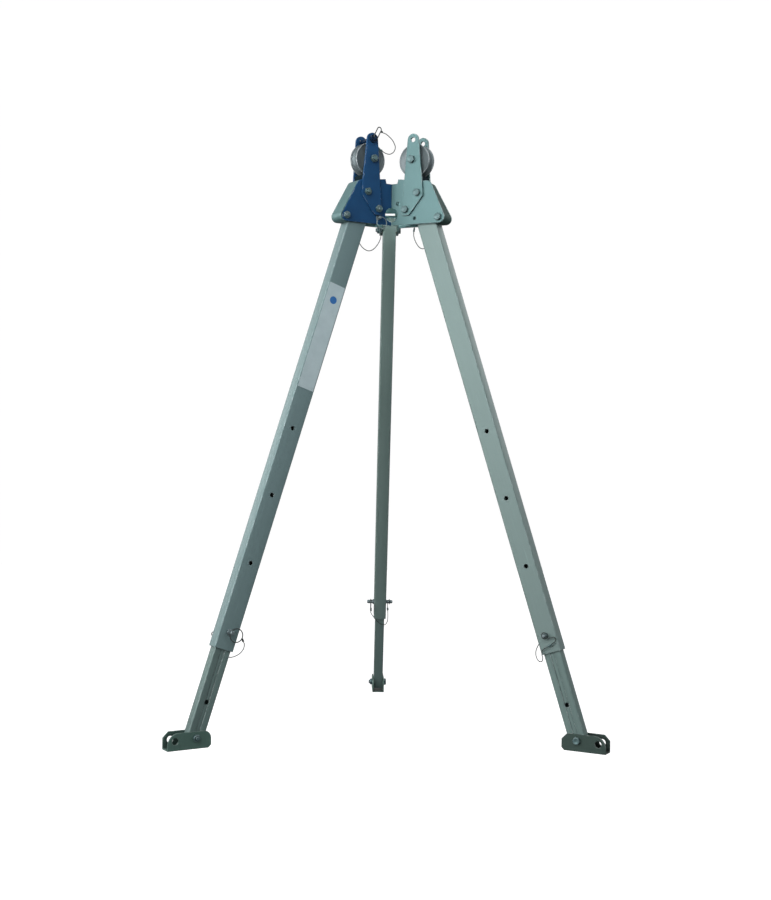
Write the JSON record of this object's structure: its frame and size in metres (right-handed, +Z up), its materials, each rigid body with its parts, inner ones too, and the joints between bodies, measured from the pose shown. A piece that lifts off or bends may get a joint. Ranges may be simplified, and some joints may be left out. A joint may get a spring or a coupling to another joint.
{
  "type": "rescue tripod",
  "caption": "Rescue tripod: telescoping legs hinged in a plate head with rope pulleys, lock pins on wire lanyards and swivelling shoe feet.",
  "frame": {"origin": "on the floor, at the centre of the standing tripod's bounding box", "axes": "+Z up, the rear leg points along +Y and the two front legs face -Y"},
  "size_m": [1.2316, 1.0666, 1.768],
  "materials": {
    "blue_paint": "semi-gloss blue paint",
    "grey_plate": "satin anodised sheet",
    "zinc_steel": "zinc plated",
    "black_plastic": "moulded black",
    "wire_steel": "stranded steel",
    "sheave_metal": "turned aluminium",
    "label_foil": "blank silver foil",
    "leg_tube": "satin extrusion",
    "leg_hinge": "welded, blasted",
    "inner_tube": "satin extrusion, rubbed",
    "foot_metal": "dark anodised, scuffed"
  },
  "bodies": {
    "head": {"plate_front_left": "blue_paint", "arm_left_near": "blue_paint", "arm_left_far": "blue_paint", "plate_front_right": "grey_plate", "plate_rear_left": "grey_plate", "plate_rear_right": "grey_plate", "web_left": "grey_plate", "web_right": "grey_plate", "web_rear": "grey_plate", "arm_right_near": "grey_plate", "arm_right_far": "grey_plate", "arm_bolts": "zinc_steel", "arm_nuts": "zinc_steel", "arm_spacers": "zinc_steel", "axle_bolts": "zinc_steel", "axle_nuts": "zinc_steel", "axle_spacers": "zinc_steel", "hinge_bolts": "zinc_steel", "hinge_nuts": "zinc_steel", "rope_guards": "black_plastic", "head_wire_left": "wire_steel", "head_wire_right": "wire_steel", "retaining_wire": "wire_steel"},
    "retaining": {"retaining_pin": "blue_paint", "retaining_ring": "wire_steel"},
    "anchor": {"anchor_pin": "zinc_steel"},
    "anchor_ring": {"anchor_ring": "zinc_steel"},
    "sheave_left": {"sheave_left": "sheave_metal"},
    "sheave_right": {"sheave_right": "sheave_metal"},
    "upper_leg_left": {"outer_tube_left": "leg_tube", "leg_hinge_left": "leg_hinge", "mouth_guide_left": "black_plastic", "leg_wire_left": "wire_steel", "leg_label": "label_foil"},
    "leg_pin_left": {"leg_pin_left": "zinc_steel", "leg_ring_left": "wire_steel"},
    "lower_leg_left": {"inner_tube_left": "inner_tube", "top_guide_left": "black_plastic", "foot_axle_left": "zinc_steel"},
    "foot_left": {"foot_left": "foot_metal"},
    "upper_leg_right": {"outer_tube_right": "leg_tube", "leg_hinge_right": "leg_hinge", "mouth_guide_right": "black_plastic", "leg_wire_right": "wire_steel"},
    "leg_pin_right": {"leg_pin_right": "zinc_steel", "leg_ring_right": "wire_steel"},
    "lower_leg_right": {"inner_tube_right": "inner_tube", "top_guide_right": "black_plastic", "foot_axle_right": "zinc_steel"},
    "foot_right": {"foot_right": "foot_metal"},
    "upper_leg_rear": {"outer_tube_rear": "leg_tube", "leg_hinge_rear": "leg_hinge", "mouth_guide_rear": "black_plastic", "leg_wire_rear": "wire_steel"},
    "leg_pin_rear": {"leg_pin_rear": "zinc_steel", "leg_ring_rear": "wire_steel"},
    "lower_leg_rear": {"inner_tube_rear": "inner_tube", "top_guide_rear": "black_plastic", "foot_axle_rear": "zinc_steel"},
    "foot_rear": {"foot_rear": "foot_metal"}
  },
  "joints": [
    {"name": "leg_fold_left", "type": "hinge", "parent": "head", "child": "upper_leg_left", "pos_m": [-0.14722, -0.25164, 1.5047], "axis": [0.5, -0.866, 0], "range_deg": [0, 18.5]},
    {"name": "leg_draw_left", "type": "slide", "parent": "upper_leg_left", "child": "lower_leg_left", "axis": [-0.2748, -0.1587, -0.9483], "range_m": [0, 0.6]},
    {"name": "leg_pin_pull_left", "type": "slide", "parent": "upper_leg_left", "child": "leg_pin_left", "axis": [0.5, -0.866, 0], "range_m": [0, 0.058]},
    {"name": "foot_swing_left", "type": "hinge", "parent": "lower_leg_left", "child": "foot_left", "pos_m": [-0.53345, -0.47462, 0.03], "axis": [0.5, -0.866, 0], "range_deg": [-40, 25]},
    {"name": "leg_fold_right", "type": "hinge", "parent": "head", "child": "upper_leg_right", "pos_m": [0.14722, -0.25164, 1.5047], "axis": [0.5, 0.866, 0], "range_deg": [0, 18.5]},
    {"name": "leg_draw_right", "type": "slide", "parent": "upper_leg_right", "child": "lower_leg_right", "axis": [0.2748, -0.1587, -0.9483], "range_m": [0, 0.6]},
    {"name": "leg_pin_pull_right", "type": "slide", "parent": "upper_leg_right", "child": "leg_pin_right", "axis": [0.5, 0.866, 0], "range_m": [0, 0.058]},
    {"name": "foot_swing_right", "type": "hinge", "parent": "lower_leg_right", "child": "foot_right", "pos_m": [0.53345, -0.47462, 0.03], "axis": [0.5, 0.866, 0], "range_deg": [-40, 25]},
    {"name": "leg_fold_rear", "type": "hinge", "parent": "head", "child": "upper_leg_rear", "pos_m": [0, 0.00336, 1.5047], "axis": [-1, 0, 0], "range_deg": [0, 18.5]},
    {"name": "leg_draw_rear", "type": "slide", "parent": "upper_leg_rear", "child": "lower_leg_rear", "axis": [0, 0.3173, -0.9483], "range_m": [0, 0.6]},
    {"name": "leg_pin_pull_rear", "type": "slide", "parent": "upper_leg_rear", "child": "leg_pin_rear", "axis": [-1, 0, 0], "range_m": [0, 0.058]},
    {"name": "foot_swing_rear", "type": "hinge", "parent": "lower_leg_rear", "child": "foot_rear", "pos_m": [0, 0.44934, 0.03], "axis": [-1, 0, 0], "range_deg": [-40, 25]},
    {"name": "retaining_pull", "type": "slide", "parent": "head", "child": "retaining", "axis": [0.5, -0.866, 0], "range_m": [0, 0.075]},
    {"name": "anchor_pull", "type": "slide", "parent": "head", "child": "anchor", "axis": [0.5, -0.866, 0], "range_m": [0, 0.05]},
    {"name": "anchor_ring_swing", "type": "hinge", "parent": "anchor", "child": "anchor_ring", "pos_m": [-0.03593, -0.23241, 1.5057], "axis": [-0.75, -0.433, -0.5], "range_deg": [-12, 60]},
    {"name": "sheave_turn_left", "type": "hinge", "parent": "head", "child": "sheave_left", "pos_m": [-0.07275, -0.20864, 1.6767], "axis": [0.5, -0.866, 0], "continuous": true},
    {"name": "sheave_turn_right", "type": "hinge", "parent": "head", "child": "sheave_right", "pos_m": [0.07275, -0.20864, 1.6767], "axis": [0.5, 0.866, 0], "continuous": true}
  ]
}
